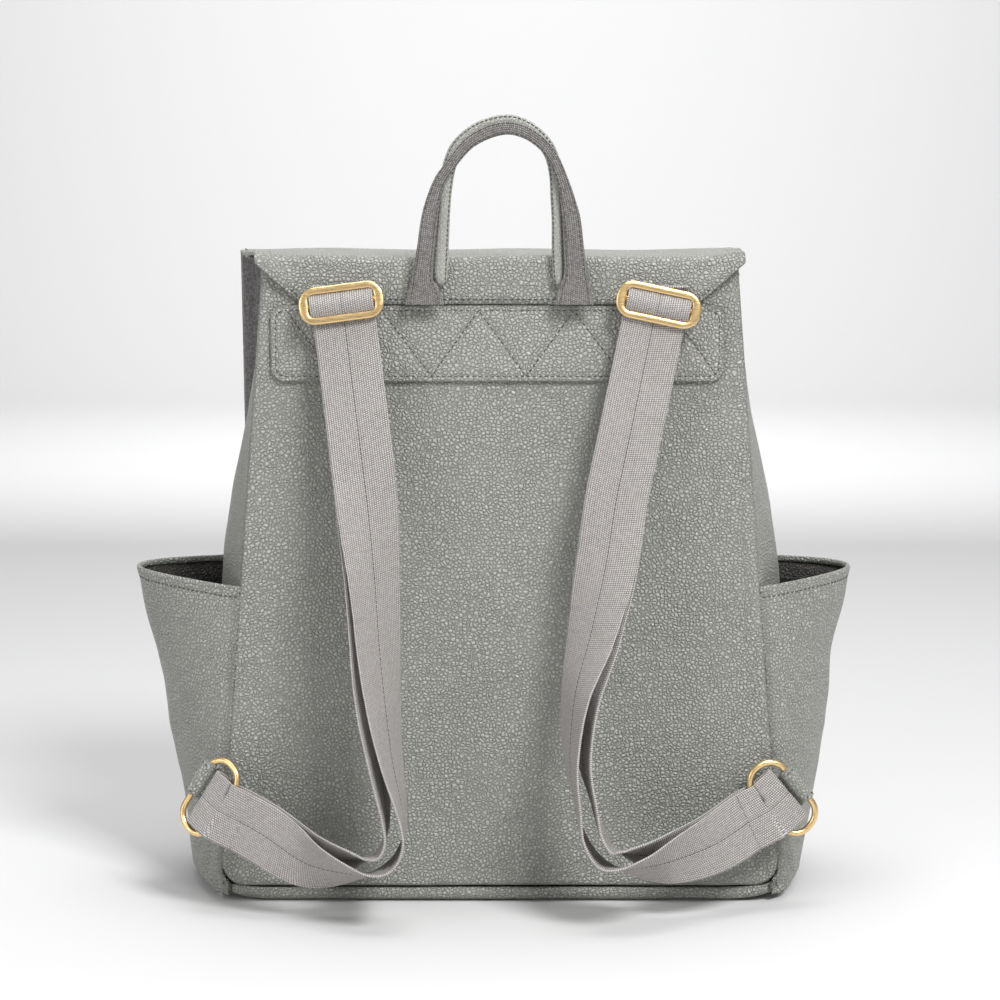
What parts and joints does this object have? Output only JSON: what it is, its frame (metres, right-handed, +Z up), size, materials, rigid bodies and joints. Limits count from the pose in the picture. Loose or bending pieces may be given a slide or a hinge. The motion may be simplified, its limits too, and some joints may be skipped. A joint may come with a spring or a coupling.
{
  "type": "diaper bag",
  "caption": "Backpack diaper bag with a fold-over flap, webbing shoulder straps with metal sliders and rings, a grab handle and open side pockets.",
  "frame": {"origin": "centre of the base on the floor it stands on", "axes": "+Z up; -Y is the back panel that faces the wearer, with the straps; +X to the right when facing the back panel"},
  "size_m": [0.46, 0.2191, 0.4911],
  "materials": {
    "body_leather": "pebbled, satin",
    "handle_leather": "pebbled, satin",
    "webbing": "woven, matte",
    "gold_hardware": "brushed pale gold",
    "lining": "twill, matte",
    "foam": "foam, matte",
    "board": "matte"
  },
  "bodies": {
    "bag": {"back_panel": "body_leather", "front_panel": "body_leather", "left_gusset": "body_leather", "right_gusset": "body_leather", "base_tray": "body_leather", "yoke": "body_leather", "flap_strip": "body_leather", "left_top_binding": "body_leather", "right_top_binding": "body_leather", "front_top_binding": "body_leather", "left_pocket": "body_leather", "right_pocket": "body_leather", "left_pocket_binding": "body_leather", "right_pocket_binding": "body_leather", "left_ring_tab": "body_leather", "right_ring_tab": "body_leather", "back_lining": "lining", "front_lining": "lining", "left_lining": "lining", "right_lining": "lining", "back_pad": "foam", "base_board": "board", "snap_socket": "gold_hardware", "left_strap_anchor": "webbing", "right_strap_anchor": "webbing", "left_strap_face_upper": "webbing", "left_strap_face_lower": "webbing", "left_strap_rear_upper": "webbing", "left_strap_rear_lower": "webbing", "right_strap_face_upper": "webbing", "right_strap_face_lower": "webbing", "right_strap_rear_upper": "webbing", "right_strap_rear_lower": "webbing"},
    "flap_top": {"flap_top_panel": "body_leather", "flap_top_lining": "lining"},
    "flap_front": {"flap_front_panel": "body_leather", "flap_front_lining": "lining", "closure_tab": "body_leather", "snap_stud": "gold_hardware"},
    "handle": {"handle_webbing": "webbing", "handle_leather": "handle_leather"},
    "left_slider": {"left_slider_frame": "gold_hardware", "left_slider_bar": "gold_hardware", "left_slider_webbing": "webbing"},
    "left_ring": {"left_ring": "gold_hardware", "left_ring_webbing": "webbing"},
    "right_slider": {"right_slider_frame": "gold_hardware", "right_slider_bar": "gold_hardware", "right_slider_webbing": "webbing"},
    "right_ring": {"right_ring": "gold_hardware", "right_ring_webbing": "webbing"}
  },
  "joints": [
    {"name": "flap_top_hinge", "type": "hinge", "parent": "bag", "child": "flap_top", "pos_m": [0, -0.0743, 0.4023], "axis": [1, 0, 0], "range_deg": [0, 85]},
    {"name": "flap_front_hinge", "type": "hinge", "parent": "flap_top", "child": "flap_front", "pos_m": [0, 0.04199, 0.4061], "axis": [1, 0, 0], "range_deg": [0, 90]},
    {"name": "handle_fold", "type": "hinge", "parent": "bag", "child": "handle", "pos_m": [0, -0.0872, 0.3772], "axis": [1, 0, 0], "range_deg": [0, 150]},
    {"name": "left_slider_slide", "type": "slide", "parent": "bag", "child": "left_slider", "axis": [0.1279, -0.2284, -0.9651], "range_m": [0, 0.07]},
    {"name": "right_slider_slide", "type": "slide", "parent": "bag", "child": "right_slider", "axis": [-0.2055, -0.1655, -0.9646], "range_m": [0, 0.07]},
    {"name": "left_ring_swing", "type": "hinge", "parent": "bag", "child": "left_ring", "pos_m": [-0.186, -0.083, 0.083], "axis": [0.53, 0, 0.848], "range_deg": [-12, 6]},
    {"name": "right_ring_swing", "type": "hinge", "parent": "bag", "child": "right_ring", "pos_m": [0.185, -0.083, 0.079], "axis": [-0.6451, 0, 0.7641], "range_deg": [-6, 12]}
  ]
}
